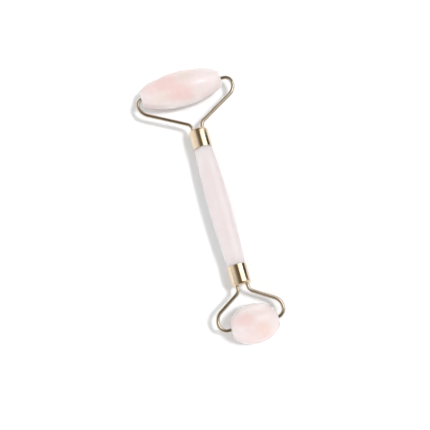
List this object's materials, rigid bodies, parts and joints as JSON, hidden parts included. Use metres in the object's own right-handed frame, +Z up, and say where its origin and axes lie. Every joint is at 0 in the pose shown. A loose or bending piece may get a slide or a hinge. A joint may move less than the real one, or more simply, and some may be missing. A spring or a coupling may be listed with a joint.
{
  "type": "double-ended face roller",
  "caption": "Double-ended rose quartz face roller: a stone handle with a gold-plated wire yoke at each end, carrying a long and a short free-spinning stone roller.",
  "frame": {"origin": "centre of the whole roller's footprint, on the surface that both stone rollers rest on", "axes": "+Y along the handle towards the long roller, +X to the right along both rollers' axes, +Z up"},
  "size_m": [0.0522, 0.1448, 0.0194],
  "materials": {
    "rose_quartz": "polished, translucent pink with cloudy patches",
    "pale_quartz": "polished, milky white with a trace of pink",
    "polished_gold": "mirror-polished gold plating",
    "nylon": "natural nylon",
    "epoxy": "cured potting resin"
  },
  "bodies": {
    "handle": {"handle": "pale_quartz", "big_end_ferrule": "polished_gold", "small_end_ferrule": "polished_gold", "big_yoke_wire": "polished_gold", "small_yoke_wire": "polished_gold", "big_end_epoxy": "epoxy", "small_end_epoxy": "epoxy"},
    "big_roller": {"big_roller": "rose_quartz", "big_roller_bush_left": "nylon", "big_roller_bush_right": "nylon"},
    "small_roller": {"small_roller": "rose_quartz", "small_roller_bush_left": "nylon", "small_roller_bush_right": "nylon"}
  },
  "joints": [
    {"name": "big_roller_spin", "type": "hinge", "parent": "handle", "child": "big_roller", "pos_m": [-0.00145, 0.06345, 0.009], "axis": [1, 0, 0], "continuous": true},
    {"name": "small_roller_spin", "type": "hinge", "parent": "handle", "child": "small_roller", "pos_m": [0.00205, -0.06275, 0.0097], "axis": [1, 0, 0], "continuous": true}
  ]
}
